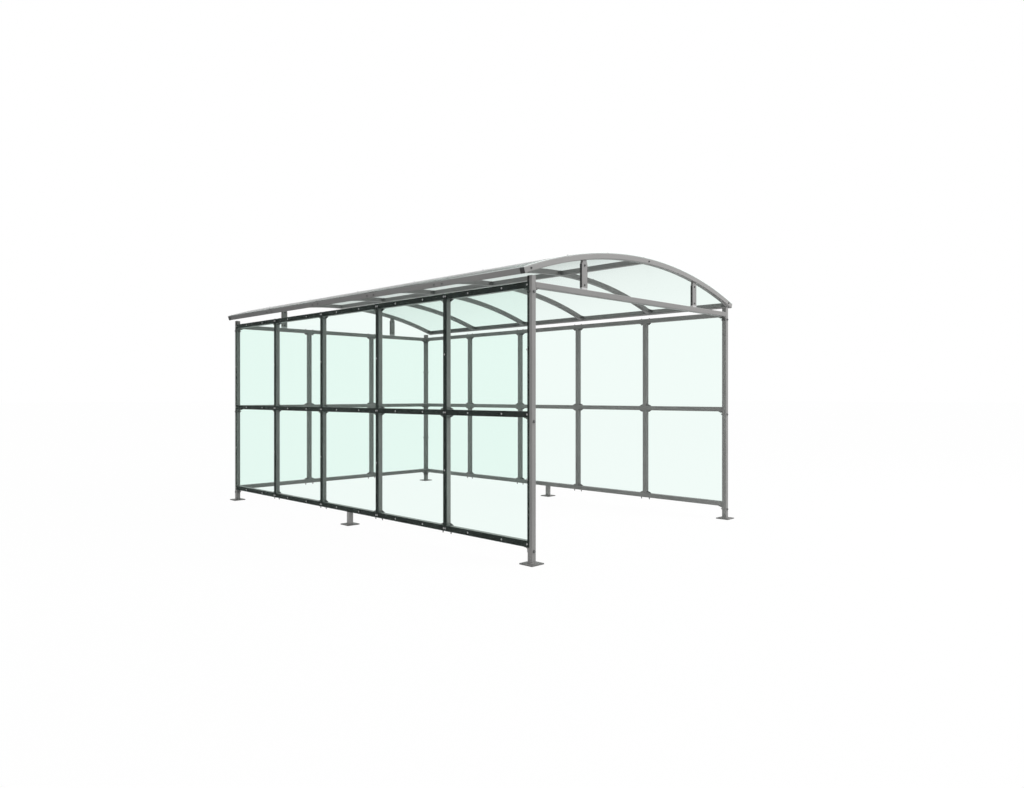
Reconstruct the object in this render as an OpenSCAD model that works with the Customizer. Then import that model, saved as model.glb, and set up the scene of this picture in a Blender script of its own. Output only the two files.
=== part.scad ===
// Shopping cart shelter: an open-fronted, barrel-roofed frame of square steel tube, clad with
// clear sheets on three sides and on the roof.
//
// Frame of reference: X runs across the width, Y along the length with the open front at -Y,
// Z is up. The origin is on the ground in the middle of the footprint. Millimetres.

/* [Footprint] */
// Length of one side bay, between the centre lines of its posts or mullions
side_bay = 1000; // [800:10:1250]
// Number of bays along each side wall
side_bays = 5; // [3:2:7]
// Width of one rear bay, between centre lines
rear_bay = 990; // [800:10:1250]
// Number of bays across the rear wall
rear_bays = 3; // [2:1:4]

/* [Tube] */
// Outside width of the square tube that the frame is built of
tube = 48; // [40:1:60]
// Outside radius of the tube's rounded corners
tube_corner = 6; // [4:0.5:12]
// Wall thickness of the tube, modelled where the arches are bored for their caps
tube_wall = 2.5; // [2:0.5:4]
// Depth of the bore at the ends of the arches
end_bore = 60; // [30:5:120]
// Thickness of the plastic caps that close the ends of the arches
end_cap_thick = 3; // [2:0.5:6]
// How far the caps' plugs reach into the bores
end_cap_plug = 18; // [10:1:28]

/* [Walls] */
// Height of the bottom rails' centre line
rail_bottom_z = 155; // [130:5:300]
// Height of the middle rails' centre line
rail_middle_z = 1150; // [900:5:1300]
// Height of the top rails' and the front beam's centre line
rail_top_z = 2145; // [1900:5:2400]

/* [Posts and feet] */
// How far the corner posts stand above the top rails' centre line
post_rise = 71; // [50:1:75]
// Thickness of the cap that closes each post
cap_thick = 4; // [2:0.5:8]
// How far the cap is set in from the tube's faces
cap_inset = 1.5; // [0.5:0.5:3]
// Side of the square base plates
plate_side = 135; // [120:5:200]
// Thickness of the base plates
plate_thick = 10; // [6:1:16]
// Diameter of the anchor bolt holes in the base plates
anchor_hole = 14; // [10:1:18]
// Distance between the anchor holes along each side of a plate
anchor_pitch = 95; // [80:5:130]

/* [Roof] */
// How far the eaves beams' centre lines lie outside the side walls' centre lines
eaves_overhang = 80; // [60:5:160]
// Height of the eaves beams' centre line above the top rails' centre line
eaves_rise = 105; // [90:5:200]
// Height of the ridge purlin's centre line above the eaves beams' centre lines
roof_rise = 268; // [180:2:420]
// Distance of the roof uprights from the middle of the shelter
upright_x = 857; // [400:1:1000]
// Width of the flat uprights across the open front
upright_width = 71; // [50:1:100]
// Depth of the uprights along the shelter
upright_depth = 24; // [20:1:40]
// Outside radius of the uprights' rounded corners
upright_corner = 3; // [2:0.5:6]
// Height over which the uprights' tops are bevelled
upright_bevel_h = 42; // [10:1:50]
// How much the bevel takes off each side of an upright's top
upright_bevel_w = 13; // [2:0.5:20]

/* [Sheets] */
// Thickness of the clear sheets on the walls and the roof
sheet_thick = 5; // [3:0.5:10]
// Open joint between neighbouring sheets
sheet_joint = 3; // [1:0.5:8]

/* [Corner brackets] */
// Length of each leg of a corner bracket
bracket_leg = 40; // [38:1:56]
// Width of a corner bracket
bracket_width = 38; // [30:1:40]
// Thickness of the legs
bracket_thick = 5; // [3:0.5:7]
// Thickness of the brackets' two side webs
bracket_web = 4; // [2:0.5:6]
// Height of the low brackets that hold the mullions, up the mullion
mullion_rise = 20; // [14:1:30]
// Reach of the small webs in the brackets under the rails' ends
rail_web = 16; // [8:1:24]
// Distance of each bolt hole from the bracket's corner
bracket_bolt = 29; // [25:1:32]
// Diameter of the bolt holes
bracket_hole = 9; // [8:0.5:12]

/* [Hidden] */

$fn = 64;
// Running clearance between curved surfaces that seat on each other
seat = 0.3;
// How far a cutting shape passes the face that it cuts
cut = 1;

half_tube = tube / 2;
half_length = side_bay * side_bays / 2;
half_width = rear_bay * rear_bays / 2;
rail_heights = [rail_bottom_z, rail_middle_z, rail_top_z];
post_top = rail_top_z + post_rise;
cap_width = tube - 2 * cap_inset;
bore_width = tube - 2 * tube_wall;
plug_width = bore_width - 2 * seat;

// Y of each mullion line along a side wall, and X of each one across the rear wall
side_lines = [for (i = [1 : side_bays - 1]) i * side_bay - half_length];
rear_lines = [for (i = [1 : rear_bays - 1]) i * rear_bay - half_width];

// The roof's centre line is an arc through both eaves beams and the ridge purlin
eaves_x = half_width + eaves_overhang;
eaves_z = rail_top_z + eaves_rise;
roof_radius = (pow(eaves_x, 2) + pow(roof_rise, 2)) / (2 * roof_rise);
roof_centre_z = eaves_z + roof_rise - roof_radius;
eaves_angle = asin(eaves_x / roof_radius);
// The arc is drawn this much past the eaves, in degrees, and cut square there
arc_spare = 2;
roof_outer = roof_radius + half_tube;
roof_inner = roof_radius - half_tube;

frame_colour = [0.55, 0.56, 0.55];
bracket_colour = [0.45, 0.46, 0.46];
plate_colour = [0.48, 0.48, 0.48];
clear_colour = [0.86, 0.96, 0.93, 0.35];
cap_colour = [0.06, 0.06, 0.06];

// ---------------------------------------------------------------- shapes

// Upright bar with rounded corners, centred on Z, standing on Z = 0; width is along X, depth along Y
module bar(length, width = tube, depth = tube, corner = tube_corner) {
    flat_x = width - 2 * corner;
    flat_y = depth - 2 * corner;
    union() {
        translate([-width / 2, -flat_y / 2, 0]) cube([width, flat_y, length]);
        translate([-flat_x / 2, -depth / 2, 0]) cube([flat_x, depth, length]);
        for (x = [-1, 1], y = [-1, 1])
            translate([x * flat_x / 2, y * flat_y / 2, 0]) cylinder(r = corner, h = length);
    }
}

// The frame's tube lying along Y or along X, centred on the origin
module bar_y(length) translate([0, -length / 2, 0]) rotate([-90, 0, 0]) bar(length);
module bar_x(length) translate([-length / 2, 0, 0]) rotate([0, 90, 0]) bar(length);

// A 2D shape, drawn with X as the radius from the roof's axis, swept round that axis.
// Angles are measured from the crest, positive towards +X.
module roof_sweep(from, to)
    translate([0, 0, roof_centre_z]) rotate([90, 0, 0]) rotate([0, 0, 90 - to])
        rotate_extrude(angle = to - from, $fn = 720) children();

// Bent tube of the given width and corner radius along the roof's arc, centred on Y = 0
module roof_bar(from, to, width = tube, corner = tube_corner) {
    flat = width - 2 * corner;
    union() {
        roof_sweep(from, to) translate([roof_radius - width / 2, -flat / 2]) square([width, flat]);
        roof_sweep(from, to) translate([roof_radius - flat / 2, -width / 2]) square([flat, width]);
        for (r = [-1, 1], y = [-1, 1])
            roof_sweep(from, to) translate([roof_radius + r * flat / 2, y * flat / 2])
                circle(r = corner, $fn = 32);
    }
}

// Local frame on an eaves beam: X' points down the slope and outwards, Z' out of the roof
module at_eaves(side)
    translate([0, 0, roof_centre_z]) rotate([0, side * eaves_angle, 0])
        translate([0, 0, roof_radius]) scale([side, 1, 1]) children();

// Everything past a face of the eaves beam, at X' = offset in its local frame
module past_eaves(side, offset)
    at_eaves(side) translate([offset, -tube, -2 * tube]) cube([6 * tube, 2 * tube, 4 * tube]);

// Roof bracket. One leg lies along +X on Z = 0, the other stands along +Z on X = 0,
// two curved side webs brace them, and each leg has one bolt hole.
module bracket() {
    fillet = bracket_leg - bracket_thick;
    difference() {
        union() {
            translate([0, -bracket_width / 2, 0]) cube([bracket_leg, bracket_width, bracket_thick]);
            translate([0, -bracket_width / 2, 0]) cube([bracket_thick, bracket_width, bracket_leg]);
            for (y = [-bracket_width / 2, bracket_width / 2 - bracket_web])
                translate([0, y, 0]) difference() {
                    cube([bracket_leg, bracket_web, bracket_leg]);
                    translate([bracket_leg, -cut, bracket_leg]) rotate([-90, 0, 0])
                        cylinder(r = fillet, h = bracket_web + 2 * cut);
                }
        }
        translate([bracket_bolt, 0, -cut]) cylinder(d = bracket_hole, h = bracket_thick + 2 * cut);
        translate([-cut, 0, bracket_bolt]) rotate([0, 90, 0])
            cylinder(d = bracket_hole, h = bracket_thick + 2 * cut);
    }
}

// Bracket with straight side webs. One leg lies along +X on Z = 0, the other stands on X = 0 to the
// given height, and the webs between them reach web_x along the one and web_z up the other.
module straight_bracket(height, web_x, web_z) {
    left = -bracket_width / 2;
    difference() {
        union() {
            translate([0, left, 0]) cube([bracket_leg, bracket_width, bracket_thick]);
            translate([0, left, 0]) cube([bracket_thick, bracket_width, height]);
            for (y = [left + bracket_web, -left])
                translate([0, y, 0]) rotate([90, 0, 0]) linear_extrude(bracket_web) polygon([
                    [0, 0], [web_x, 0], [web_x, bracket_thick], [bracket_thick, web_z], [0, web_z]
                ]);
        }
        translate([bracket_bolt, 0, -cut]) cylinder(d = bracket_hole, h = bracket_thick + 2 * cut);
    }
}

// Low bracket that holds a mullion on its rail: only its level leg is bolted
module mullion_bracket() straight_bracket(mullion_rise, bracket_leg, mullion_rise);

// Bracket under a rail's end, with a second bolt hole in the leg that lies on the post
module rail_bracket()
    difference() {
        straight_bracket(bracket_leg, rail_web, rail_web);
        translate([-cut, 0, bracket_bolt]) rotate([0, 90, 0])
            cylinder(d = bracket_hole, h = bracket_thick + 2 * cut);
    }

// ------------------------------------------------------------ arrangement

// Draws a piece of the side walls in its place on the left wall (side -1) or right wall (side 1)
module on_side(side) translate([side * half_width, 0, 0]) children();

// Draws a piece of a wall that runs along Y so that it runs along X on the rear wall
module on_rear() translate([0, half_length, 0]) rotate([0, 0, 90]) children();

// A bracket on each side of an upright member that meets a level one at Z = 0.
// up = 1 where the member stands on the level one, -1 where it hangs below it.
module bracket_pair(up)
    for (along = [-1, 1])
        scale([1, along, up]) translate([0, half_tube, 0]) rotate([0, 0, 90]) children();

// The brackets of one wall of a given half length, at its mullion lines and under its rail ends
module wall_brackets(lines, half) {
    for (y = lines, z = [rail_bottom_z, rail_middle_z])
        translate([0, y, z + half_tube]) bracket_pair(1) mullion_bracket();
    for (y = lines, z = [rail_middle_z, rail_top_z])
        translate([0, y, z - half_tube]) bracket_pair(-1) mullion_bracket();
    for (z = rail_heights, end = [-1, 1])
        end_bracket(end, half, z);
}

// Bracket under one end of a rail, between the rail and the inner face of its post
module end_bracket(end, half, z)
    scale([1, end, 1]) translate([0, half - half_tube, z - half_tube])
        scale([1, -1, -1]) rotate([0, 0, 90]) rail_bracket();

// Mullion lengths between two rails, one on each line
module mullion_row(lines, low, high)
    for (y = lines)
        translate([0, y, low + half_tube]) bar(high - low - tube);

// Clear sheets of one wall, bay by bay, on the outer face, which is at +X
module wall_sheets(bays, bay)
    for (i = [0 : bays - 1])
        translate([half_tube, (i - bays / 2) * bay + sheet_joint / 2, rail_bottom_z - half_tube])
            cube([sheet_thick, bay - sheet_joint, rail_top_z - rail_bottom_z + tube]);

// ------------------------------------------------------------------ pieces

module base_plate()
    difference() {
        translate([-plate_side / 2, -plate_side / 2, 0]) cube([plate_side, plate_side, plate_thick]);
        for (x = [-1, 1], y = [-1, 1])
            translate([x * anchor_pitch / 2, y * anchor_pitch / 2, -cut])
                cylinder(d = anchor_hole, h = plate_thick + 2 * cut);
    }

module base_plates() color(plate_colour) {
    for (x = [-1, 1], y = [-1, 0, 1])
        translate([x * half_width, y * half_length, 0]) base_plate();
}

// Corner post from its base plate to its cap
module post(x, y) color(frame_colour)
    translate([x * half_width, y * half_length, plate_thick]) union() {
        bar(post_top - plate_thick - cap_thick);
        translate([0, 0, post_top - plate_thick - cap_thick])
            bar(cap_thick, cap_width, cap_width, tube_corner - cap_inset);
    }

// Short feet under the middle of each side wall
module feet() color(frame_colour)
    for (x = [-1, 1])
        translate([x * half_width, 0, plate_thick])
            bar(rail_bottom_z - half_tube - plate_thick);

module rail_side(side, z) color(frame_colour)
    on_side(side) translate([0, 0, z]) bar_y(2 * half_length - tube);

module rail_rear(z) color(frame_colour)
    translate([0, half_length, z]) bar_x(2 * half_width - tube);

module beam_front() color(frame_colour)
    translate([0, -half_length, rail_top_z]) bar_x(2 * half_width - tube);

module mullions_side(side, low, high) color(frame_colour)
    on_side(side) mullion_row(side_lines, low, high);

module mullions_rear(low, high) color(frame_colour)
    on_rear() mullion_row(rear_lines, low, high);

module brackets_side(side) color(bracket_colour)
    on_side(side) wall_brackets(side_lines, half_length);

module brackets_rear() color(bracket_colour)
    on_rear() wall_brackets(rear_lines, half_width);

module brackets_front() color(bracket_colour)
    translate([0, -half_length, 0]) rotate([0, 0, 90])
        for (end = [-1, 1]) end_bracket(end, half_width, rail_top_z);

module panels_side(side) color(clear_colour)
    on_side(side) scale([side, 1, 1]) wall_sheets(side_bays, side_bay);

module panels_rear() color(clear_colour)
    translate([0, half_length, 0]) rotate([0, 0, 90]) wall_sheets(rear_bays, rear_bay);

// End arch: a bent tube cut square in line with the eaves beams' outer faces, bored for its caps
module arch(y) color(frame_colour)
    translate([0, y * half_length, 0]) difference() {
        roof_bar(-eaves_angle - arc_spare, eaves_angle + arc_spare);
        for (side = [-1, 1]) {
            past_eaves(side, half_tube);
            at_eaves(side) translate([half_tube - end_bore, 0, 0]) rotate([0, 90, 0])
                bar(end_bore + cut, bore_width, bore_width, tube_corner - tube_wall);
        }
    }

// Plastic cap on each end of the end arches: a plate on the cut face with a plug in the bore
module arch_caps() color(cap_colour)
    for (side = [-1, 1], y = [-1, 1])
        translate([0, y * half_length, 0]) at_eaves(side)
            translate([half_tube, 0, 0]) rotate([0, 90, 0]) union() {
                bar(end_cap_thick, cap_width, cap_width, tube_corner - cap_inset);
                translate([0, 0, -end_cap_plug])
                    bar(end_cap_plug, plug_width, plug_width, tube_corner - tube_wall - seat);
            }

// Half ribs of one side, each from the ridge purlin's face to the eaves beam's inner face
module ribs(side) color(frame_colour)
    for (y = side_lines)
        translate([0, y, 0]) scale([side, 1, 1]) difference() {
            roof_bar(-arc_spare, eaves_angle + arc_spare);
            past_eaves(1, -half_tube);
            translate([half_tube - 8 * tube, -tube, roof_centre_z + roof_inner - tube])
                cube([8 * tube, 2 * tube, 3 * tube]);
        }

module eaves(side) color(frame_colour)
    at_eaves(side) bar_y(2 * half_length - tube);

module ridge_purlin() color(frame_colour)
    translate([0, 0, roof_centre_z + roof_radius]) bar_y(2 * half_length - tube);

// Brackets in the plane of the roof: X' runs along the rib towards the member that carries it
module rib_brackets()
    for (y = side_lines)
        translate([0, y, 0]) rotate([0, 90, 0]) bracket_pair(-1) bracket();

// Bracket between an end arch and a roof member that runs along Y from it. Its corner is at the
// origin: one leg lies on the arch's inner face, towards +X, the other along the member, towards -Y.
module arch_bracket(end)
    scale([1, end, 1]) translate([0, half_length - half_tube, 0]) rotate([90, 0, 0]) bracket();

// Brackets between the half ribs, the end arches and the eaves beam of one side
module brackets_eaves(side) color(bracket_colour)
    at_eaves(side) translate([-half_tube, 0, 0]) {
        rib_brackets();
        for (end = [-1, 1]) scale([-1, 1, 1]) arch_bracket(end);
    }

// Brackets between the half ribs of both sides, the end arches and the ridge purlin
module brackets_ridge() color(bracket_colour)
    translate([0, 0, roof_centre_z + roof_radius]) {
        for (side = [-1, 1])
            scale([side, 1, 1]) translate([half_tube, 0, 0]) rotate([0, 180, 0]) rib_brackets();
        for (end = [-1, 1]) translate([half_tube, 0, 0]) arch_bracket(end);
    }

// Flat roof upright, bevelled at its top and cut to the curve of the arch that stands on it
module upright(side, y) {
    foot_z = rail_top_z + half_tube;
    half = upright_width / 2;
    narrow = half - upright_bevel_w;
    crest = roof_centre_z + roof_inner - seat - foot_z;
    top = sqrt(pow(roof_inner - seat, 2) - pow(upright_x, 2)) + roof_centre_z - foot_z;
    shoulder = top - upright_bevel_h;
    translate([side * upright_x, y * half_length, foot_z]) intersection() {
        bar(crest, upright_width, upright_depth, upright_corner);
        translate([0, tube, 0]) rotate([90, 0, 0]) linear_extrude(2 * tube) polygon([
            [-half, 0], [half, 0], [half, shoulder], [narrow, top], [narrow, top + tube],
            [-narrow, top + tube], [-narrow, top], [-half, shoulder]
        ]);
        translate([-side * upright_x, tube, roof_centre_z - foot_z]) rotate([90, 0, 0])
            cylinder(r = roof_inner - seat, h = 2 * tube, $fn = 720);
    }
}

module uprights(y) color(frame_colour)
    for (side = [-1, 1]) upright(side, y);

module roof_sheets() color(clear_colour)
    for (i = [0 : side_bays - 1]) {
        first = i == 0 ? half_tube : -sheet_joint / 2;
        last = i == side_bays - 1 ? half_tube : -sheet_joint / 2;
        start = (i - side_bays / 2) * side_bay - first;
        length = side_bay + first + last;
        edge = eaves_angle + asin(half_tube / roof_outer);
        roof_sweep(-edge, edge) translate([roof_outer + seat, -start - length])
            square([sheet_thick, length]);
    }

// ------------------------------------------------------------------- nodes

base_plates();
post(-1, -1);  // post_front_left
post(1, -1);  // post_front_right
post(-1, 1);  // post_rear_left
post(1, 1);  // post_rear_right
feet();
rail_side(-1, rail_bottom_z);  // rail_left_bottom
rail_side(-1, rail_middle_z);  // rail_left_middle
rail_side(-1, rail_top_z);  // rail_left_top
rail_side(1, rail_bottom_z);  // rail_right_bottom
rail_side(1, rail_middle_z);  // rail_right_middle
rail_side(1, rail_top_z);  // rail_right_top
rail_rear(rail_bottom_z);  // rail_rear_bottom
rail_rear(rail_middle_z);  // rail_rear_middle
rail_rear(rail_top_z);  // rail_rear_top
beam_front();
mullions_side(-1, rail_bottom_z, rail_middle_z);  // mullions_left_lower
mullions_side(-1, rail_middle_z, rail_top_z);  // mullions_left_upper
mullions_side(1, rail_bottom_z, rail_middle_z);  // mullions_right_lower
mullions_side(1, rail_middle_z, rail_top_z);  // mullions_right_upper
mullions_rear(rail_bottom_z, rail_middle_z);  // mullions_rear_lower
mullions_rear(rail_middle_z, rail_top_z);  // mullions_rear_upper
brackets_side(-1);  // brackets_left
brackets_side(1);  // brackets_right
brackets_rear();
brackets_front();
panels_side(-1);  // panels_left
panels_side(1);  // panels_right
panels_rear();
arch(-1);  // arch_front
arch(1);  // arch_rear
arch_caps();
ribs(-1);  // ribs_left
ribs(1);  // ribs_right
eaves(-1);  // eaves_left
eaves(1);  // eaves_right
ridge_purlin();
brackets_eaves(-1);  // brackets_eaves_left
brackets_eaves(1);  // brackets_eaves_right
brackets_ridge();
uprights(-1);  // uprights_front
uprights(1);  // uprights_rear
roof_sheets();
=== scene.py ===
"""Open-fronted shelter for shopping trolleys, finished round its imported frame."""

import math

import bpy
import numpy as np
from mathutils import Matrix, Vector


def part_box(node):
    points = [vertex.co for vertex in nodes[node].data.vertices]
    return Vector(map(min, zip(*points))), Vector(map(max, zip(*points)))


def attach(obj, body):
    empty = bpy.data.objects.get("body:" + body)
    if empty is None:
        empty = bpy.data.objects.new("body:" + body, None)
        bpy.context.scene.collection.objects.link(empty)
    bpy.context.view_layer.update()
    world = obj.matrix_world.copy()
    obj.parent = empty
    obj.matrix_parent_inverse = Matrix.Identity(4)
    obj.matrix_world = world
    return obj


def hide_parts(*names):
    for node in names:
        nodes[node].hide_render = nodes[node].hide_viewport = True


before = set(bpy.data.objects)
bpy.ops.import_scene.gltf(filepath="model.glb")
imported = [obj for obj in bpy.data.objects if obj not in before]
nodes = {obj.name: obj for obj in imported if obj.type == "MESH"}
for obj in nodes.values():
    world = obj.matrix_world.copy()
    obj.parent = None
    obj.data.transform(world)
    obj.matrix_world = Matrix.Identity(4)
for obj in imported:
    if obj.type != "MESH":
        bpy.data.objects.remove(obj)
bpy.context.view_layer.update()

# ---------------------------------------------------------------- viewpoint
# A level camera at eye height, off the shelter's open front and its left wall. The small shift
# puts the horizon and the middle of the view where they belong.

EYE = (-5.6374, -6.3991, 1.2973)
HEADING = 45.38       # degrees clockwise from +Y
DIP = 0.031           # degrees below the level
SENSOR = 36.0         # millimetres across
LENS = 26.1005        # millimetres
SHIFT = (-0.00123, 0.0016)
VIEW_END = 400.0

camera = bpy.data.objects.new("camera", bpy.data.cameras.new("camera"))
bpy.context.scene.collection.objects.link(camera)
camera.data.sensor_fit = "HORIZONTAL"
camera.data.sensor_width = SENSOR
camera.data.lens = LENS
camera.data.shift_x, camera.data.shift_y = SHIFT
camera.data.clip_end = VIEW_END
camera.location = EYE
camera.rotation_euler = (math.radians(90 - DIP), 0, -math.radians(HEADING))
bpy.context.scene.camera = camera
bpy.context.scene.view_settings.view_transform = "Standard"

# ------------------------------------------------------------ studio light
# One broad round lamp, high before the open front and a little to its right, and an even
# surround. What the camera sees straight, in a mirror or through a sheet is the white backdrop.

AMBIENT = 0.88        # strength of the surround that lights the shelter
BACKDROP = 1.0        # strength of what is seen, where 1 is white
LAMP = 690.0          # watts
LAMP_AT = (3.9, -7.6, 8.6)
LAMP_TO = (0.6, -2.5, 1.3)
LAMP_SIZE = 4.2


def calculated(tree, operation, *given):
    """The result of one math node. Each given value is a number or the socket that gives it."""
    made = tree.nodes.new("ShaderNodeMath")
    made.operation = operation
    for socket, value in zip(made.inputs, given):
        if isinstance(value, bpy.types.NodeSocket):
            tree.links.new(value, socket)
        else:
            socket.default_value = value
    return made.outputs[0]


def backdrop_mask(tree):
    """1 for what is seen straight, mirrored or through glass before any matt surface, else 0."""
    path = tree.nodes.new("ShaderNodeLightPath").outputs
    seen = calculated(tree, "MAXIMUM", path["Is Camera Ray"], path["Is Glossy Ray"])
    seen = calculated(tree, "MAXIMUM", seen, path["Is Transmission Ray"])
    before_matt = calculated(tree, "LESS_THAN", path["Diffuse Depth"], 0.5)
    return calculated(tree, "MULTIPLY", seen, before_matt)


def show_mixed(tree, mask, plain, backdrop, output):
    """Leads two shaders to a tree's output: the plain one where the mask is 0, else the other."""
    mix = tree.nodes.new("ShaderNodeMixShader")
    tree.links.new(mask, mix.inputs["Fac"])
    tree.links.new(plain.outputs[0], mix.inputs[1])
    tree.links.new(backdrop.outputs[0], mix.inputs[2])
    tree.links.new(mix.outputs[0], tree.nodes.new(output).inputs["Surface"])


def background(tree, strength):
    """White light of one strength from all round."""
    made = tree.nodes.new("ShaderNodeBackground")
    made.inputs["Color"].default_value = (1, 1, 1, 1)
    made.inputs["Strength"].default_value = strength
    return made


world = bpy.data.worlds.new("surround")
bpy.context.scene.world = world
world.use_nodes = True
surround = world.node_tree
surround.nodes.clear()
show_mixed(surround, backdrop_mask(surround), background(surround, AMBIENT),
           background(surround, BACKDROP), "ShaderNodeOutputWorld")

lamp = bpy.data.objects.new("lamp", bpy.data.lights.new("lamp", "AREA"))
bpy.context.scene.collection.objects.link(lamp)
lamp.data.shape = "DISK"
lamp.data.size = LAMP_SIZE
lamp.data.energy = LAMP
lamp.location = LAMP_AT
away = np.array(LAMP_AT) - np.array(LAMP_TO)
lamp.rotation_euler = (math.atan2(math.hypot(away[0], away[1]), away[2]), 0,
                       math.atan2(away[1], away[0]) + math.pi / 2)
lamp.visible_camera = False
lamp.visible_transmission = False

# -------------------------------------------------------------------- floor
# A wide pale floor. It shows as white as the backdrop, less a faint part that the lamp lights,
# so that the shelter's soft shadow stays on it.

FLOOR_SHADE = 0.03    # share of the floor that the lamp lights
FLOOR_GLOW = 1.01     # strength of the rest, where 1 is white
FLOOR_GREY = 0.5
FLOOR_HALF = 150.0

floor_mesh = bpy.data.meshes.new("floor")
floor_mesh.from_pydata(
    [(x * FLOOR_HALF, y * FLOOR_HALF, 0) for x, y in ((-1, -1), (1, -1), (1, 1), (-1, 1))],
    [], [(0, 1, 2, 3)])
floor = bpy.data.objects.new("floor", floor_mesh)
bpy.context.scene.collection.objects.link(floor)

pale = bpy.data.materials.new("pale_floor")
pale.use_nodes = True
pale_tree = pale.node_tree
pale_tree.nodes.clear()
matt_floor = pale_tree.nodes.new("ShaderNodeBsdfDiffuse")
matt_floor.inputs["Color"].default_value = (FLOOR_GREY, FLOOR_GREY, FLOOR_GREY, 1)
glow = pale_tree.nodes.new("ShaderNodeEmission")
glow.inputs["Strength"].default_value = FLOOR_GLOW
share = calculated(pale_tree, "MULTIPLY", backdrop_mask(pale_tree), 1 - FLOOR_SHADE)
show_mixed(pale_tree, share, matt_floor, glow, "ShaderNodeOutputMaterial")
floor_mesh.materials.append(pale)

# -------------------------------------------------------------- frame tubes
# Square steel tube with rounded corners, cut, drilled and powder coated in a satin mid grey. The
# coat has a fine orange peel and drifts a little in shade from one length to the next.

TUBE_GREY = (0.235, 0.232, 0.227)
DRIFT_SCALE = 2.3     # cells of the slow drift to the metre
PEEL_SCALE = 620.0    # cells of the orange peel to the metre
PEEL_DEEP = 0.0006    # depth of the orange peel
PEEL = 0.1            # strength of its bump
HAZE = 0.16           # how far the roughness follows the drift
GLOSS = 0.2           # roughness of a clear coat


def noise(tree, scale, detail):
    """Noise on Object coordinates, with so many cells to the metre and so many finer octaves."""
    made = tree.nodes.new("ShaderNodeTexNoise")
    made.inputs["Scale"].default_value = scale
    made.inputs["Detail"].default_value = detail
    tree.links.new(tree.nodes.new("ShaderNodeTexCoord").outputs["Object"], made.inputs["Vector"])
    return made.outputs["Fac"]


def mapped(tree, value, start, end, first, last):
    """A value carried evenly from the range start to end onto first to last, and held beyond."""
    made = tree.nodes.new("ShaderNodeMapRange")
    made.inputs["From Min"].default_value = start
    made.inputs["From Max"].default_value = end
    made.inputs["To Min"].default_value = first
    made.inputs["To Max"].default_value = last
    tree.links.new(value, made.inputs["Value"])
    return made.outputs["Result"]


def scaled(tree, colour, factor):
    """A colour times a factor."""
    made = tree.nodes.new("ShaderNodeVectorMath")
    made.operation = "SCALE"
    tree.links.new(colour, made.inputs[0])
    tree.links.new(factor, made.inputs["Scale"])
    return made.outputs["Vector"]


def bumped(tree, height, strength, distance):
    """The normal of a surface that a height raises by up to a distance, in metres."""
    made = tree.nodes.new("ShaderNodeBump")
    made.inputs["Strength"].default_value = strength
    made.inputs["Distance"].default_value = distance
    tree.links.new(height, made.inputs["Height"])
    return made.outputs["Normal"]


def coat_group():
    """Powder coat: a slow drift in shade, a fine peel for the bump and a light haze on the
    gloss. The colour is scaled by 1 plus the drift, and the haze adds to the roughness."""
    group = bpy.data.node_groups.new("powder_coat", "ShaderNodeTree")
    for name, way, kind in (("Color", "INPUT", "Color"), ("Drift", "INPUT", "Float"),
                            ("Roughness", "INPUT", "Float"), ("Color", "OUTPUT", "Color"),
                            ("Roughness", "OUTPUT", "Float"), ("Height", "OUTPUT", "Float")):
        group.interface.new_socket(name, in_out=way, socket_type=f"NodeSocket{kind}")
    given = group.nodes.new("NodeGroupInput").outputs
    out = group.nodes.new("NodeGroupOutput").inputs

    slow = noise(group, DRIFT_SCALE, 3.0)
    swing = calculated(group, "MULTIPLY", mapped(group, slow, 0.3, 0.7, -1.0, 1.0), given["Drift"])
    level = calculated(group, "ADD", swing, 1.0)
    haze = calculated(group, "MULTIPLY_ADD", slow, HAZE, given["Roughness"])
    group.links.new(scaled(group, given["Color"], level), out["Color"])
    group.links.new(haze, out["Roughness"])
    group.links.new(noise(group, PEEL_SCALE, 2.0), out["Height"])
    return group


POWDER_COAT = coat_group()


def material(name, plain):
    """A material with a Principled shader whose plain values are set by their sockets' names. It
    comes with its tree and its shader."""
    made = bpy.data.materials.new(name)
    made.use_nodes = True
    shader = made.node_tree.nodes["Principled BSDF"]
    for socket, value in plain.items():
        shader.inputs[socket].default_value = value
    return made, made.node_tree, shader


def coated(name, colour, drift, roughness, metallic=0.0, clear_coat=0.0):
    """A coated or plated metal: the shared coat group drives colour, roughness and bump."""
    made, tree, shader = material(name, {"Metallic": metallic, "Coat Weight": clear_coat,
                                         "Coat Roughness": GLOSS})
    coat = tree.nodes.new("ShaderNodeGroup")
    coat.node_tree = POWDER_COAT
    coat.inputs["Color"].default_value = (*colour, 1)
    coat.inputs["Drift"].default_value = drift
    coat.inputs["Roughness"].default_value = roughness
    tree.links.new(coat.outputs["Color"], shader.inputs["Base Color"])
    tree.links.new(coat.outputs["Roughness"], shader.inputs["Roughness"])
    tree.links.new(bumped(tree, coat.outputs["Height"], PEEL, PEEL_DEEP), shader.inputs["Normal"])
    return made


def shaded(name, factor):
    """The tubes' satin coat, paler or darker by a factor."""
    return coated(name, tuple(factor * c for c in TUBE_GREY), 0.05, 0.36, clear_coat=0.1)


def wear(names, coat):
    """Gives one material to all faces of each CAD node whose name starts with one of the names."""
    for node, made in nodes.items():
        if node.startswith(names):
            mesh = made.data
            mesh.materials.clear()
            mesh.materials.append(coat)
            mesh.polygons.foreach_set("material_index", np.zeros(len(mesh.polygons), np.int32))


tube_coat = shaded("grey_powder_coat", 1.0)
wear(("post_", "rail_", "mullions_", "ribs_", "ridge_", "uprights_"), tube_coat)

# ------------------------------------- arches, stub feet, beam and eaves
# The same tube, a shade paler on the bent arches and a shade darker on the front beam. The stub
# feet are painted paler, painted light that lifts the shade that the plates and bottom rails cast
# round them. The eaves beams are painted darker towards the rear: painted shade.

# Painted shade on the eaves beams, darker towards the rear
EAVES_PAINTED_SHADE = (-1.9, 2.5, 0.25)  # from and to where along Y, and the factor reached


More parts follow.
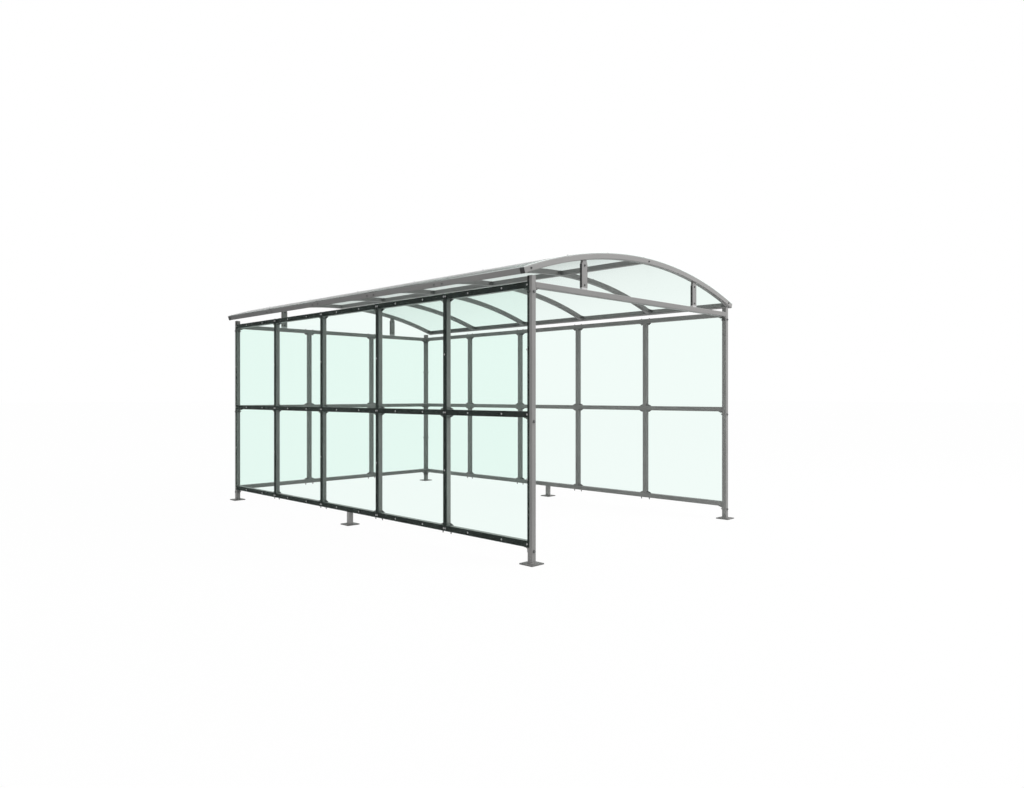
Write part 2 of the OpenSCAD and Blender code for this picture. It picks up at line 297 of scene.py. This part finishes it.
def painted_shade_along(made, start, end, least):
    """Scales a material's colour along the shelter, by a factor that falls evenly from 1 at the
    start to the least one at the end, both in metres along Y. It paints shade, darker to the rear."""
    tree = made.node_tree
    colour = tree.nodes["Principled BSDF"].inputs["Base Color"]
    apart = tree.nodes.new("ShaderNodeSeparateXYZ")
    tree.links.new(tree.nodes.new("ShaderNodeTexCoord").outputs["Object"], apart.inputs["Vector"])
    fall = mapped(tree, apart.outputs["Y"], start, end, 1.0, least)
    tree.links.new(scaled(tree, colour.links[0].from_socket, fall), colour)
    return made


wear(("arch_front", "arch_rear"), shaded("arch_powder_coat", 1.1))
# Painted light: the stub feet are 1.3 times paler, to lift the shade round them
wear("feet", shaded("feet_coat_painted_light", 1.3))
wear("beam_", shaded("beam_powder_coat", 0.92))
wear("eaves_", painted_shade_along(shaded("eaves_powder_coat", 1.0), *EAVES_PAINTED_SHADE))

# --------------------------------------------------- base plates and welds
# Square steel plates under the corner posts and the middle feet, drilled for ground anchors. Each
# post is welded to its plate by one bead all round, coated with the rest.

BEAD = 0.005          # leg of the fillet weld
BEAD_RIPPLES = 44     # weld ripples round one post
BEAD_SWELL = 0.12     # how far a ripple swells the bead, as a share of its size
BEAD_NARROW = 0.8     # the bead's width as a share of its height
BEAD_SUNK = 0.1       # how far its underside goes into the plate, as a share of its size
BEAD_STEPS = 176
CORNER = 0.006        # the tube's outer corner radius

wear("base_plates", coated("plate_powder_coat", (0.14, 0.138, 0.135), 0.06, 0.42))


def middle(node):
    """The middle of a CAD node's box: half the sum of its lowest and highest corners."""
    low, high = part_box(node)
    return [(a + b) / 2 for a, b in zip(low, high)]


post_low, post_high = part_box("post_front_left")
PLATE_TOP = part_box("base_plates")[1].z
TUBE = round(post_high.x - post_low.x, 6)
POST_X, POST_Y = (-c for c in middle("post_front_left")[:2])


def piece(name, points, faces, coat, smooth=False):
    """A finished piece: one mesh at the origin, made of an array of points and lists of faces."""
    mesh = bpy.data.meshes.new(name)
    mesh.from_pydata(points.reshape(-1, 3).tolist(), [], faces)
    mesh.materials.append(coat)
    mesh.polygons.foreach_set("use_smooth", np.full(len(mesh.polygons), smooth))
    made = bpy.data.objects.new(name, mesh)
    bpy.context.scene.collection.objects.link(made)
    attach(made, "root")
    return made


def strips(rows, columns, closed_rows=False):
    """Quads between neighbouring rows of points, where every row is a closed ring of columns."""
    i = np.arange(rows if closed_rows else rows - 1)[:, None]
    j = np.arange(columns)[None, :]
    k = (j + 1) % columns
    up = (i + 1) % rows
    return np.stack([i * columns + j, i * columns + k, up * columns + k, up * columns + j],
                    -1).reshape(-1, 4)


def loops(name, rings, coat, turn_over=False, smooth=False):
    """One piece made of like closed loops, each a grid whose rows and columns both close. Faces
    that would look inwards are turned over."""
    rows, columns = rings[0].shape[:2]
    faces = strips(rows, columns, closed_rows=True)
    faces = np.concatenate([faces + i * rows * columns for i in range(len(rings))])
    if turn_over:
        faces = faces[:, ::-1]
    return piece(name, np.stack(rings), faces.tolist(), coat, smooth)


def weld_ring(x, y):
    """One bead round a post: t runs round the tube's rounded square outline and the bead's half
    round profile stands on it, its radius rising and falling with the ripples."""
    t = np.linspace(0, 2 * np.pi, BEAD_STEPS, endpoint=False)
    flat = TUBE / 2 - CORNER
    out = np.stack([np.cos(t), np.sin(t)], -1)
    square = out / np.abs(out).max(1)[:, None] * TUBE / 2
    core = np.clip(square, -flat, flat)
    edge = square - core
    edge /= np.linalg.norm(edge, axis=1)[:, None]
    size = BEAD * (1 + BEAD_SWELL * np.cos(BEAD_RIPPLES * t))
    a = np.radians([-180, -90, -45, 0, 45, 90])
    across, up = np.cos(a) * BEAD_NARROW, np.clip(np.sin(a), -BEAD_SUNK, 1)
    away = (CORNER + size[:, None] * across)[..., None] * edge[:, None, :]
    height = PLATE_TOP + size[:, None] * up
    return np.concatenate([core[:, None, :] + away + (x, y), height[..., None]], -1)


loops("post_welds", [weld_ring(x * POST_X, y * POST_Y) for x in (-1, 1) for y in (-1, 0, 1)],
      tube_coat, turn_over=True, smooth=True)

# ---------------------------------------------------------- corner brackets
# Pressed steel brackets, coated a shade darker than the tubes: low ones with straight webs at the
# mullions, angles with small webs under the rails' ends, and ones with curved webs in the roof.

wear("brackets_", coated("bracket_powder_coat", (0.18, 0.18, 0.176), 0.05, 0.4))

# ------------------------------------------------------------- glazing tape
# Black foam tape, stuck along the outer faces of the rails and mullions and down the edges of
# the posts. The wall sheets press on it. Its black is also painted shade: it stands in for the
# shadow that the sheets cast on the tubes behind them, and on the posts it runs on above the
# sheets into the roof's shadow. Its section is a flattened round, carried along each run.

TAPE_WIDTH = 0.046    # on the mullions
RAIL_TAPE = 0.0472    # on the rails
POST_TAPE = 0.0205    # width of the strip on a post's edge
TAPE_THICK = 0.0009
TAPE_SPARE = 0.001    # bare tube left at a post's edge and at its top
BLUNT = 0.22          # power that flattens a round section: 1 is an ellipse, 0 a rectangle
MATT_ROUGH = 0.7
MOTTLE = 0.25         # how far a matt colour goes darker and paler with its grain
GRAIN = 0.25          # strength of the grain's bump
GRAIN_DEEP = 0.0004   # depth of the grain

SIDE_BAYS, REAR_BAYS = 5, 3
RAIL_HEIGHTS = [round(middle(f"rail_right_{k}")[2], 6) for k in ("bottom", "middle", "top")]
ROWS = list(zip(RAIL_HEIGHTS[:-1], RAIL_HEIGHTS[1:]))
SHEET_LOW, SHEET_HIGH = RAIL_HEIGHTS[0] - TUBE / 2, RAIL_HEIGHTS[-1] + TUBE / 2


def mullion_lines(half, bays):
    """Where the mullions stand: the wall's length between post centres in equal bays."""
    return np.round(np.linspace(-half, half, bays + 1)[1:-1], 6)


SIDE_PLANE, REAR_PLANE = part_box("rail_right_top")[1].x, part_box("rail_rear_top")[1].y
SIDE_LINES, REAR_LINES = mullion_lines(POST_Y, SIDE_BAYS), mullion_lines(POST_X, REAR_BAYS)

# Each wall as the right wall turned round the middle of the shelter: the turn in degrees, the
# distance to the outer faces of its tubes, half its length between post centres, its mullions
WALLS = {
    "right": (0, SIDE_PLANE, POST_Y, SIDE_LINES),
    "rear": (90, REAR_PLANE, POST_X, REAR_LINES),
    "left": (180, SIDE_PLANE, POST_Y, SIDE_LINES),
}
X, Y, Z = np.eye(3)


def turned(points, degrees):
    """Points of the right wall carried to another wall by a turn about the upright axis."""
    c, s = round(math.cos(math.radians(degrees)), 9), round(math.sin(math.radians(degrees)), 9)
    return points @ np.array([[c, s, 0], [-s, c, 0], [0, 0, 1]])


def blended(tree, factor, first, second):
    """A colour between two, by a factor from 0 to 1."""
    mix = tree.nodes.new("ShaderNodeMix")
    mix.data_type = "RGBA"
    mix.inputs["A"].default_value = (*first, 1)
    mix.inputs["B"].default_value = (*second, 1)
    tree.links.new(factor, mix.inputs["Factor"])
    return mix.outputs["Result"]


def matt(name, colour, grain, shine=0.5):
    """A matt material, its colour mottled each way by a fine grain that also lifts its face."""
    made, tree, shader = material(name, {"Roughness": MATT_ROUGH, "Specular IOR Level": shine})
    speck = noise(tree, grain, 4.0)
    dark, light = ([k * c for c in colour] for k in (1 - MOTTLE, 1 + MOTTLE))
    tree.links.new(blended(tree, speck, dark, light), shader.inputs["Base Color"])
    tree.links.new(bumped(tree, speck, GRAIN, GRAIN_DEEP), shader.inputs["Normal"])
    return made


def bar_run(start, end, wide, thick, width, thickness, sides=16):
    """A strip from start to end. Its section is a flattened round: a cosine and a sine, each
    raised to a small power, along the wide and the thick axis."""
    a = np.linspace(0, 2 * np.pi, sides, endpoint=False) + np.pi / sides
    u, v = (np.sign(s) * np.abs(s) ** BLUNT for s in (np.cos(a), np.sin(a)))
    section = u[:, None] * wide * width / 2 + v[:, None] * thick * thickness / 2
    return np.stack([section + np.array(start, float), section + np.array(end, float)])


def bars(name, runs, coat):
    """One piece made of several strips, each closed at both ends. Every strip has its rings in
    the order that makes its faces look outwards."""
    points, faces, count = [], [], 0
    for run in runs:
        rows, columns = run.shape[:2]
        along = run[-1].mean(0) - run[0].mean(0)
        turn = np.cross(run[0][0] - run[0].mean(0), run[0][1] - run[0].mean(0))
        if along @ turn < 0:
            run = run[:, ::-1]
        faces += (strips(rows, columns) + count).tolist()
        faces.append(list(range(count + columns - 1, count - 1, -1)))
        faces.append(list(range(count + (rows - 1) * columns, count + rows * columns)))
        points.append(run.reshape(-1, 3))
        count += rows * columns
    return piece(name, np.concatenate(points), faces, coat)


black_tape_and_painted_shade = matt("glazing_foam_painted_shade", (0.0205, 0.0215, 0.0205), 900.0, 0.38)

for wall, (turn, plane, half, lines) in WALLS.items():
    x = plane + TAPE_THICK / 2
    inner = half - TUBE / 2
    edge = inner + POST_TAPE / 2 + TAPE_SPARE
    # On the side walls the post strips run on above the sheets to the posts' tops: painted shade
    top = SHEET_HIGH if wall == "rear" else post_high.z - TAPE_SPARE
    runs = [bar_run((x, -inner, z), (x, inner, z), Z, X, RAIL_TAPE, TAPE_THICK)
            for z in RAIL_HEIGHTS]
    runs += [bar_run((x, y, low + RAIL_TAPE / 2), (x, y, high - RAIL_TAPE / 2), Y, X,
                     TAPE_WIDTH, TAPE_THICK) for low, high in ROWS for y in lines]
    runs += [bar_run((x, y, SHEET_LOW), (x, y, top), Y, X, POST_TAPE, TAPE_THICK)
             for y in (-edge, edge)]
    bars(f"glazing_tape_{wall}", [turned(run, turn) for run in runs], black_tape_and_painted_shade)

# -------------------------------------------------------------- wall sheets
# Clear polycarbonate, cut to the bays and bolted through the tape to the rails and mullions. It
# has a faint green tint that deepens where the sheet is looked at along its surface.

SHEET_THICK = 0.005
SHEET_GAP = 0.001     # the sheets stand off the tubes by the squeezed tape
SHEET_JOINT = 0.003   # between two sheets
SHEET_EDGE = 0.0006   # cut edges are broken by this much
SHEET_TINT = (0.888, 0.975, 0.94)


def clear(name, deep, along, ior):
    """Clear sheet: its tint runs to the deeper one as a power of the glancing angle."""
    made, tree, shader = material(name, {"Roughness": 0.0, "IOR": ior,
                                         "Transmission Weight": 1.0})
    glance = tree.nodes.new("ShaderNodeLayerWeight")
    glance.inputs["Blend"].default_value = 0.5
    share_deep = calculated(tree, "POWER", glance.outputs["Facing"], along)
    tree.links.new(blended(tree, share_deep, SHEET_TINT, deep), shader.inputs["Base Color"])
    return made


def pane(y_low, y_high, z_low, z_high, x_low, x_high):
    """One flat sheet: a rectangle with its edges broken, carried through the sheet's thickness
    in four rings, the outer two drawn in by the broken edge."""
    e = SHEET_EDGE
    x = np.array([x_low, x_low + e, x_high - e, x_high])
    inset = np.array([e, 0, 0, e])[:, None]
    y = np.array([y_low, y_high, y_high, y_low]) + inset * (1, -1, -1, 1)
    z = np.array([z_low, z_low, z_high, z_high]) + inset * (1, 1, -1, -1)
    return np.stack([np.repeat(x[:, None], 4, 1), y, z], -1)


wall_clear = clear("clear_sheet", (0.45, 0.6, 0.54), 12.0, 1.03)

for wall, (turn, plane, half, lines) in WALLS.items():
    edges = np.concatenate([[-half], lines, [half]])
    panes = [turned(pane(a + SHEET_JOINT / 2, b - SHEET_JOINT / 2, SHEET_LOW, SHEET_HIGH,
                         plane + SHEET_GAP, plane + SHEET_GAP + SHEET_THICK), turn)
             for a, b in zip(edges[:-1], edges[1:])]
    sheets = bars(f"wall_sheets_{wall}", panes, wall_clear)
    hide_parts(f"panels_{wall}")

# -------------------------------------------------------------- roof sheets
# Clear sheets bent over the arches and ribs from eaves to eaves, one to each bay, meeting on the
# ribs. Seen along its surface the thick sheet turns a deeper grey green, and its sawn edges, which
# scatter the light, show as a thin pale line. Towards the rear the edges are painted darker:
# painted shade, for the edges' glint falling off.

ROOF_GAP = 0.001      # the sheets stand off the arches and ribs by this much
ROOF_STEPS = 96
# Painted shade on the sawn edges, darker towards the rear
SAWN_PAINTED_SHADE = (-2.1, -1.2, 0.12)  # from and to where along Y the edges dull, and the factor reached
FACE_TURN = 0.9       # a face counts as an edge when less of its normal points out of the arc

EAVES_X, _, EAVES_Z = middle("eaves_right")
RIDGE_Z = middle("ridge_purlin")[2]
RISE = RIDGE_Z - EAVES_Z
ROOF_RADIUS = (EAVES_X ** 2 + RISE ** 2) / (2 * RISE)
ROOF_CENTRE = RIDGE_Z - ROOF_RADIUS
EAVES_ANGLE = math.asin(EAVES_X / ROOF_RADIUS)
# Distances from the axis of the roof's arc
ARCH_TOP = ROOF_RADIUS + TUBE / 2
SHEET_UNDER = ARCH_TOP + ROOF_GAP
SHEET_TOP = SHEET_UNDER + SHEET_THICK

roof_clear = clear("clear_roof_sheet", (0.25, 0.27, 0.26), 7.2, 1.01)
sawn_edge = painted_shade_along(matt("sawn_sheet_edge", (0.82, 0.87, 0.85), 400.0), *SAWN_PAINTED_SHADE)


def roof_pane(y_low, y_high, edge):
    """One bent sheet: the angle from the crest runs from eaves to eaves, and the sheet's own
    section, a rectangle with broken edges, is carried along that arc."""
    e = SHEET_EDGE
    a = np.linspace(-edge, edge, ROOF_STEPS)
    y = np.array([y_low, y_low + e, y_high - e, y_high, y_high, y_high - e, y_low + e, y_low])
    r = np.array([SHEET_TOP - e, SHEET_TOP, SHEET_TOP, SHEET_TOP - e,
                  SHEET_UNDER + e, SHEET_UNDER, SHEET_UNDER, SHEET_UNDER + e])
    return np.stack([np.sin(a)[:, None] * r, np.broadcast_to(y, (ROOF_STEPS, 8)),
                     ROOF_CENTRE + np.cos(a)[:, None] * r], -1)


roof_edge = EAVES_ANGLE + math.asin(TUBE / 2 / ARCH_TOP)
roof_end = POST_Y + TUBE / 2 + SHEET_JOINT / 2
roof_ends = np.concatenate([[-roof_end], SIDE_LINES, [roof_end]])
roof = bars("roof_sheets_bent", [roof_pane(a + SHEET_JOINT / 2, b - SHEET_JOINT / 2, roof_edge)
                                 for a, b in zip(roof_ends[:-1], roof_ends[1:])], roof_clear)
roof.data.materials.append(sawn_edge)
spots, facing = (np.empty(3 * len(roof.data.polygons)) for _ in range(2))
roof.data.polygons.foreach_get("center", spots)
roof.data.polygons.foreach_get("normal", facing)
out = spots.reshape(-1, 3)[:, ::2] - (0, ROOF_CENTRE)
out /= np.linalg.norm(out, axis=1)[:, None]
outward = np.abs((out * facing.reshape(-1, 3)[:, ::2]).sum(1))
roof.data.polygons.foreach_set("material_index", (outward < FACE_TURN).astype(np.int32))
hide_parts("roof_sheets")

# ----------------------------------------------------------- arch end caps
# Moulded caps of black plastic with a fine grain. Each has a plug that is pressed into the bored
# end of one of the two end arches.

wear("arch_caps", matt("black_moulded_plastic", (0.04, 0.041, 0.041), 260.0))

# --------------------------------------------- roof uprights, their edging
# Flat steel uprights between the front and rear beams and the arches. A dark strip covers each
# narrow side: painted shade, for the shade on the uprights' sides under the roof. A bright collar
# round each foot is painted light: a pale band for the light that shows under each upright.

UPRIGHT_WIDE = 0.071
UPRIGHT_CORNER = 0.003
SHOULDER_HIGH = 0.210  # from the foot to where the upright's head begins
EDGING = 0.0012        # thickness of the strip
EDGING_SPARE = 0.002   # how much narrower it is than the upright's side
COLLAR_HIGH = 0.016
COLLAR_THICK = 0.0012
COLLAR_STEPS = 48
CLOSE = 0.0001         # between two pieces that are pressed together

upright_low, upright_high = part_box("uprights_front")
UPRIGHT_DEEP = round(upright_high.y - upright_low.y, 6)
UPRIGHT_X = upright_high.x - UPRIGHT_WIDE / 2
UPRIGHT_FOOT = upright_low.z
SHOULDER = UPRIGHT_FOOT + SHOULDER_HIGH

# Painted shade: the dark strips on the uprights' narrow sides
edging_painted_shade = matt("dark_strip_painted_shade", (0.05, 0.051, 0.05), 700.0)
# Painted light: the bright collars at the uprights' feet
collar_painted_light = coated("bright_band_painted_light", (0.5, 0.5, 0.5), 0.04, 0.3, metallic=0.2, clear_coat=0.2)


def collar(x, y):
    """A band round an upright's foot: the outline of the upright, a rectangle with round
    corners, grown by the band's thickness, in four rings up the outside and down the inside."""
    grow = np.array([COLLAR_THICK, COLLAR_THICK, CLOSE, CLOSE])[:, None, None]
    level = UPRIGHT_FOOT + np.array([2 * CLOSE, COLLAR_HIGH, COLLAR_HIGH, 2 * CLOSE])
    # A small turn keeps every step off the axes, where the sign of a cosine or sine is 0
    t = np.linspace(0, 2 * np.pi, COLLAR_STEPS, endpoint=False) + 0.02
    way = np.stack([np.cos(t), np.sin(t)], -1)
    core = np.sign(way) * (np.array([UPRIGHT_WIDE, UPRIGHT_DEEP]) / 2 - UPRIGHT_CORNER)
    ring = core + (UPRIGHT_CORNER + grow) * way
    z = np.broadcast_to(level[:, None, None], (len(level), COLLAR_STEPS, 1))
    return np.concatenate([ring + (x, y), z], -1)


feet_at = [(x, y) for y in (-POST_Y, POST_Y) for x in (-UPRIGHT_X, UPRIGHT_X)]
edging_off = UPRIGHT_WIDE / 2 + EDGING / 2 + CLOSE
bars("upright_edging", [bar_run((x + off, y, UPRIGHT_FOOT + COLLAR_HIGH), (x + off, y, SHOULDER),
                                Y, X, UPRIGHT_DEEP - EDGING_SPARE, EDGING)
                        for x, y in feet_at for off in (-edging_off, edging_off)], edging_painted_shade)
loops("upright_collars", [collar(x, y) for x, y in feet_at], collar_painted_light)

# ------------------------------------------------------------ bracket bolts
# Hexagon bolts with washers, that hold the brackets to the rails and posts. Their dark colour is
# painted shade, for the shade that darkens such small heads. The ends of the threads stand out
# further where less is clamped, and most below the bottom rails. At the rails' ends the level leg
# has a short screw from below instead.

# How many sides each turned part has, and its outline: radius and height above the face that the
# bolt bears on, in millimetres
WASHER = 12, [(0, 0), (8.5, 0), (8.5, 1.3), (8.1, 1.6), (0, 1.6)]
HEX_HEAD = 6, [(0, 1.6), (7.5, 1.6), (7.5, 6.2), (6.5, 7.0), (0, 7.0)]
HEX_NUT = 6, [(0, 1.6), (6.6, 1.6), (7.5, 2.4), (7.5, 7.4), (6.6, 8.2), (0, 8.2)]
THREAD_END = 8, [(0, 8.2), (4.0, 8.2), (4.0, 10.4), (3.3, 11.2), (0, 11.2)]
LONG_END = 8, [(0, 8.2), (4.0, 8.2), (4.0, 15.6), (3.3, 16.4), (0, 16.4)]
FOOT_END = 8, [(0, 8.2), (4.8, 8.2), (4.8, 21.2), (4.0, 22.0), (0, 22.0)]

BOLT = 0.029          # from a bracket's corner to its bolt holes
BOLT_LINE = TUBE / 2 + BOLT
LEG = 0.005           # thickness of a bracket's legs
HEAVY = 1.4           # the heads on the corner posts are larger by this factor


def lathe(shape, places, axes, size=1.0):
    """Turned hardware, one copy to each place. Radius and height follow the profile, while the
    angle goes round in equal steps; the first and last points of the profile are poles. Every
    copy is the same grid, carried to its place with its height along its axis."""
    sides, profile = shape
    r, h = np.array(profile, float).T * size / 1000
    a = (np.arange(sides) + 0.5) * 2 * np.pi / sides
    ring = np.stack([r[1:-1, None] * np.cos(a), r[1:-1, None] * np.sin(a),
                     np.repeat(h[1:-1, None], sides, 1)], -1).reshape(-1, 3)
    local = np.concatenate([ring, [[0, 0, h[0]], [0, 0, h[-1]]]])
    w = axes / np.linalg.norm(axes, axis=1)[:, None]
    # The upright squares a copy's other two directions, or Y where the axis is nearly upright
    helper = np.where(np.abs(w[:, 2:]) < 0.9, [Z], [Y])
    u = np.cross(helper, w)
    u /= np.linalg.norm(u, axis=1)[:, None]
    frames = np.stack([u, np.cross(w, u), w], 1)
    points = places[:, None] + local @ frames

    rows, j = len(profile) - 2, np.arange(sides)
    k = (j + 1) % sides
    foot = np.stack([np.full(sides, rows * sides), k, j], -1)
    crown = np.stack([np.full(sides, rows * sides + 1), (rows - 1) * sides + j,
                      (rows - 1) * sides + k], -1)
    step = (np.arange(len(places)) * len(local))[:, None, None]
    faces = [(part + step).reshape(-1, part.shape[1])
             for part in (strips(rows, sides), foot, crown)]
    return points.reshape(-1, 3), faces


def hardware(name, parts, coat):
    """One piece out of several lathed parts."""
    points, faces, count = [], [], 0
    for part_points, part_faces in parts:
        points.append(part_points)
        faces += [face for like in part_faces for face in (like + count).tolist()]
        count += len(part_points)
    return piece(name, np.concatenate(points), faces, coat)


def through_bolts(pairs, turn=0, end=THREAD_END, heavy=1.0):
    """Lathed parts of bolts, each given by the points where its head and its nut bear. A heavy
    head and its washer are larger by that factor."""
    head, nut = (turned(np.array([pair[k] for pair in pairs], float), turn) for k in (0, 1))
    return ([lathe(shape, head, head - nut, heavy) for shape in (WASHER, HEX_HEAD)]
            + [lathe(shape, nut, nut - head) for shape in (WASHER, HEX_NUT, end)])


def one_way(shapes, places, way, turn=0):
    """Lathed parts of short screws or studs, of which only the heads show, all facing one way."""
    places = turned(np.array(places, float), turn)
    axes = np.broadcast_to(turned(way, turn), places.shape)
    return [lathe(shape, places, axes) for shape in shapes]


# Painted shade: the dark colours of the bracket and post bolts
painted_shade_bolt = coated("bolt_painted_shade", (0.075, 0.076, 0.077), 0.08, 0.38, metallic=0.3)
painted_shade_post_bolt = coated("post_bolt_painted_shade", (0.125, 0.126, 0.127), 0.08, 0.38, metallic=0.3)

for wall, (turn, plane, half, lines) in WALLS.items():
    t = TUBE / 2
    x = plane - t
    low, mid, high = RAIL_HEIGHTS
    beside = [y + side * BOLT_LINE for y in lines for side in (-1, 1)]
    lower = [((x, y, low + t + LEG), (x, y, low - t)) for y in beside]
    twin = [((x, y, mid + t + LEG), (x, y, mid - t - LEG)) for y in beside]
    upper = [((x, y, high + t), (x, y, high - t - LEG)) for y in beside]
    posts = [((x, end * (half + t), z - BOLT_LINE), (x, end * (half - t - LEG), z - BOLT_LINE))
             for end in (-1, 1) for z in RAIL_HEIGHTS]
    under = [(x, end * (half - BOLT_LINE), z - t - LEG) for end in (-1, 1) for z in RAIL_HEIGHTS]
    hardware(f"bracket_bolts_{wall}", through_bolts(twin, turn)
             + through_bolts(upper, turn, LONG_END) + through_bolts(lower, turn, FOOT_END)
             + one_way((WASHER, HEX_HEAD), under, -Z, turn), painted_shade_bolt)
    hardware(f"post_bolts_{wall}", through_bolts(posts, turn, LONG_END, HEAVY), painted_shade_post_bolt)

# ------------------------------------------------- bolts of the front beam
# The front beam's two brackets are held as the rails' end brackets are: by a bolt through each
# post, and by a short screw from below into the beam.

beam_z = RAIL_HEIGHTS[-1]
under = [(end * (POST_X - BOLT_LINE), -POST_Y, beam_z - TUBE / 2 - LEG) for end in (-1, 1)]
across = [((end * (POST_X + TUBE / 2), -POST_Y, beam_z - BOLT_LINE),
           (end * (POST_X - TUBE / 2 - LEG), -POST_Y, beam_z - BOLT_LINE)) for end in (-1, 1)]
hardware("bracket_bolts_front",
         through_bolts(across) + one_way((WASHER, HEX_HEAD), under, -Z), painted_shade_bolt)

# --------------------------------------------------------------- roof bolts
# Hexagon bolts of the brackets between ribs, ridge and eaves. They go through the tube and the
# brackets that meet on it, and are powder coated with the roof frame.

CLAMP = TUBE / 2 + LEG


def roof_point(angle, y, r):
    """A point on the roof at an angle from the crest, in radians, and a distance from its axis."""
    return np.array((math.sin(angle) * r, y, ROOF_CENTRE + math.cos(angle) * r))


def down(side):
    """The way down the slope and outwards at the eaves."""
    return np.array((side * math.cos(EAVES_ANGLE), 0, -math.sin(EAVES_ANGLE)))


grey_bolt = coated("coated_bolt", (0.13, 0.13, 0.128), 0.06, 0.4)

pairs = []
for y in SIDE_LINES:
    for side in (-1, 1):
        eaves = roof_point(side * EAVES_ANGLE, y, ROOF_RADIUS)
        for at in (eaves - Y * BOLT_LINE, eaves + Y * BOLT_LINE):
            pairs.append((at + down(side) * TUBE / 2, at - down(side) * CLAMP))
        for at in (eaves - down(side) * BOLT_LINE, np.array((side * BOLT_LINE, y, RIDGE_Z))):
            pairs.append((at - Y * CLAMP, at + Y * CLAMP))
    for at in (np.array((0, y + side * BOLT_LINE, RIDGE_Z)) for side in (-1, 1)):
        pairs.append((at + X * CLAMP, at - X * CLAMP))
for end in (-1, 1):
    at = np.array((0, end * (POST_Y - BOLT_LINE), RIDGE_Z))
    pairs.append((at + X * CLAMP, at - X * TUBE / 2))
hardware("rib_bolts", through_bolts(pairs), grey_bolt)

# ------------------------------------------------- bolts of the end arches
# Dark bolts through the faces of the end arches into their brackets, and two through each upright,
# of which the lower one is coated with the frame.

HEAD_BOLT = SHOULDER - 0.009
FOOT_BOLT = UPRIGHT_FOOT + 0.039


def upright_bolts(end, z):
    """Head and nut points of one bolt through each upright of a gable, at one height."""
    deep = UPRIGHT_DEEP / 2
    return [((x, end * (POST_Y + deep), z), (x, end * (POST_Y - deep), z))
            for x in (-UPRIGHT_X, UPRIGHT_X)]


pairs = []
for end in (-1, 1):
    outer, inner = end * (POST_Y + TUBE / 2), end * (POST_Y - CLAMP)
    arch_bolts = [roof_point(side * EAVES_ANGLE, 0, ROOF_RADIUS) - down(side) * BOLT_LINE
                  for side in (-1, 1)] + [np.array((BOLT_LINE, 0, RIDGE_Z))]
    pairs += [(at + Y * outer, at + Y * inner) for at in arch_bolts]
    pairs += upright_bolts(end, HEAD_BOLT)
# Painted shade: the dark colour of these bolts
hardware("arch_bolts", through_bolts(pairs), painted_shade_bolt)
hardware("upright_foot_bolts",
         through_bolts(upright_bolts(-1, FOOT_BOLT) + upright_bolts(1, FOOT_BOLT)), grey_bolt)

# -------------------------------------------------------------- sheet bolts
# Domed steel bolts, bright zinc plated, with broad washers, which clamp the wall sheets to the
# tubes: two in each bay, one each side of a mullion and one on each corner post, at every rail,
# and one halfway between the rails on each mullion and post.

SHEET_WASHER = 12, [(0, 0), (8.0, 0), (8.0, 1.2), (7.5, 1.5), (0, 1.5)]
DOME = 10, [(0, 1.5), (6.2, 1.5), (5.9, 3.0), (4.6, 4.5), (2.4, 5.2), (0, 5.5)]
PAIR = 0.0105         # each side of a mullion's middle
AT_POST = 0.021       # from the middle of a corner post, along the wall
IN_BAY = (0.3, 0.7)   # shares of a bay

bright_zinc = coated("bright_zinc", (0.44, 0.44, 0.44), 0.05, 0.3, metallic=0.4)

for wall, (turn, plane, half, lines) in WALLS.items():
    edges = np.concatenate([[-half], lines, [half]])
    at_ends = [AT_POST - half, half - AT_POST]
    spots = [a + share_of_bay * (b - a) for a, b in zip(edges[:-1], edges[1:])
             for share_of_bay in IN_BAY]
    spots += [y + side * PAIR for y in lines for side in (-1, 1)] + at_ends
    face = plane + SHEET_GAP + SHEET_THICK
    places = [(face, y, z) for y in spots for z in RAIL_HEIGHTS]
    places += [(face, y, (low + high) / 2) for y in (at_ends[0], *lines, at_ends[1])
               for low, high in ROWS]
    hardware(f"sheet_bolts_{wall}", one_way((SHEET_WASHER, DOME), places, X, turn), bright_zinc)

# --------------------------------------------------------------- roof studs
# The same domed bolts on the roof, in a row over each arch and rib, where they hold the edges of
# the sheets that meet there.

STUD_ACROSS = (-1.56, -1.06, -0.53, 0.0, 0.53, 1.06, 1.56)

angle, line = (grid.ravel() for grid in np.meshgrid(
    np.arcsin(np.array(STUD_ACROSS) / SHEET_TOP), [-POST_Y, *SIDE_LINES, POST_Y]))
out = np.stack([np.sin(angle), 0 * angle, np.cos(angle)], -1)
places = out * SHEET_TOP + line[:, None] * Y + ROOF_CENTRE * Z
hardware("roof_studs", [lathe(shape, places, out) for shape in (SHEET_WASHER, DOME)], bright_zinc)
